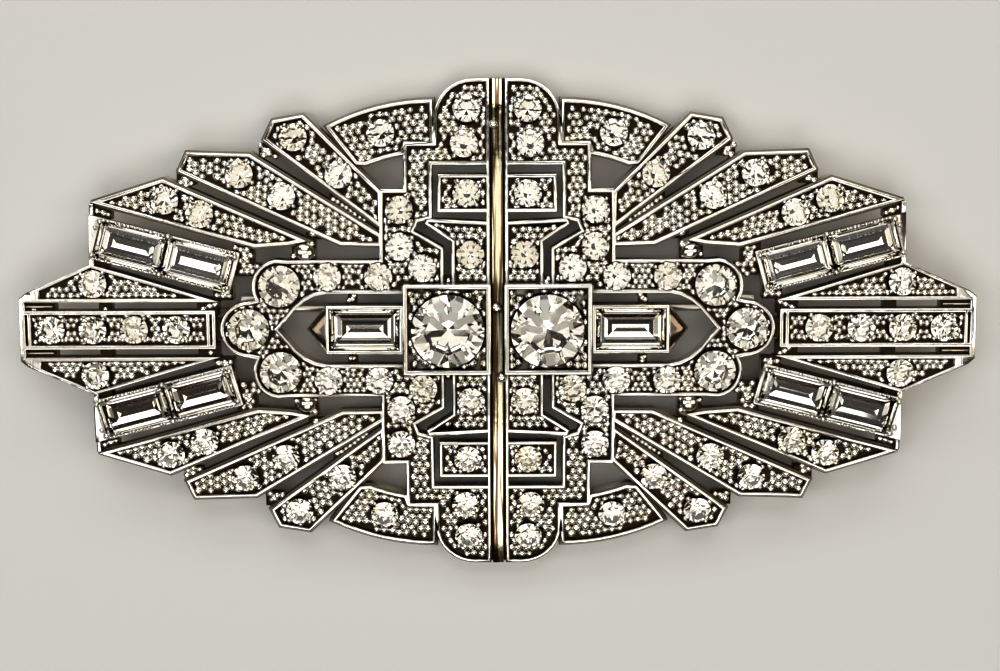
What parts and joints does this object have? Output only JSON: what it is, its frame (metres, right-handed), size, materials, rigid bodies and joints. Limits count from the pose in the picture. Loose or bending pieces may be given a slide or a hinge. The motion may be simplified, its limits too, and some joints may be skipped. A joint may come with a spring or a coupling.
{
  "type": "rhinestone brooch",
  "caption": "Wide symmetric pierced brooch of silver-toned cast metal with fanned rays, set with clear round and baguette stones, and a plain pin behind.",
  "frame": {"origin": "under the centre of the brooch, on the surface that its back lies on", "axes": "+X along the brooch, +Y across it towards the upper tower head, +Z out of its front"},
  "size_m": [0.076, 0.0396, 0.0058],
  "materials": {
    "cast_metal": "polished silver-toned plating with darkened recesses",
    "pin_steel": "drawn wire, plated",
    "clear_stone": "clear cut glass with a silvered back"
  },
  "bodies": {
    "root": {"frame": "cast_metal", "pin_back": "pin_steel", "tower_stones_upper_right": "clear_stone", "tower_stones_upper_left": "clear_stone", "tower_stones_lower_right": "clear_stone", "tower_stones_lower_left": "clear_stone", "step_stones_upper_right": "clear_stone", "step_stones_upper_left": "clear_stone", "step_stones_lower_right": "clear_stone", "step_stones_lower_left": "clear_stone", "band_stones_upper_right": "clear_stone", "band_stones_upper_left": "clear_stone", "band_stones_lower_right": "clear_stone", "band_stones_lower_left": "clear_stone", "arc_stone_upper_right": "clear_stone", "arc_stone_upper_left": "clear_stone", "arc_stone_lower_right": "clear_stone", "arc_stone_lower_left": "clear_stone", "ray_1_stones_upper_right": "clear_stone", "ray_1_stones_upper_left": "clear_stone", "ray_1_stones_lower_right": "clear_stone", "ray_1_stones_lower_left": "clear_stone", "ray_2_stones_upper_right": "clear_stone", "ray_2_stones_upper_left": "clear_stone", "ray_2_stones_lower_right": "clear_stone", "ray_2_stones_lower_left": "clear_stone", "ray_3_stones_upper_right": "clear_stone", "ray_3_stones_upper_left": "clear_stone", "ray_3_stones_lower_right": "clear_stone", "ray_3_stones_lower_left": "clear_stone", "triangle_stone_upper_right": "clear_stone", "triangle_stone_upper_left": "clear_stone", "triangle_stone_lower_right": "clear_stone", "triangle_stone_lower_left": "clear_stone", "end_bar_stones_right": "clear_stone", "end_bar_stones_left": "clear_stone", "turn_stone_upper_right": "clear_stone", "turn_stone_upper_left": "clear_stone", "turn_stone_lower_right": "clear_stone", "turn_stone_lower_left": "clear_stone", "lobe_stone_right": "clear_stone", "lobe_stone_left": "clear_stone", "square_stone_right": "clear_stone", "square_stone_left": "clear_stone", "arrow_baguette_right": "clear_stone", "arrow_baguette_left": "clear_stone", "inner_baguette_upper_right": "clear_stone", "inner_baguette_upper_left": "clear_stone", "inner_baguette_lower_right": "clear_stone", "inner_baguette_lower_left": "clear_stone", "outer_baguette_upper_right": "clear_stone", "outer_baguette_upper_left": "clear_stone", "outer_baguette_lower_right": "clear_stone", "outer_baguette_lower_left": "clear_stone"}
  },
  "joints": []
}
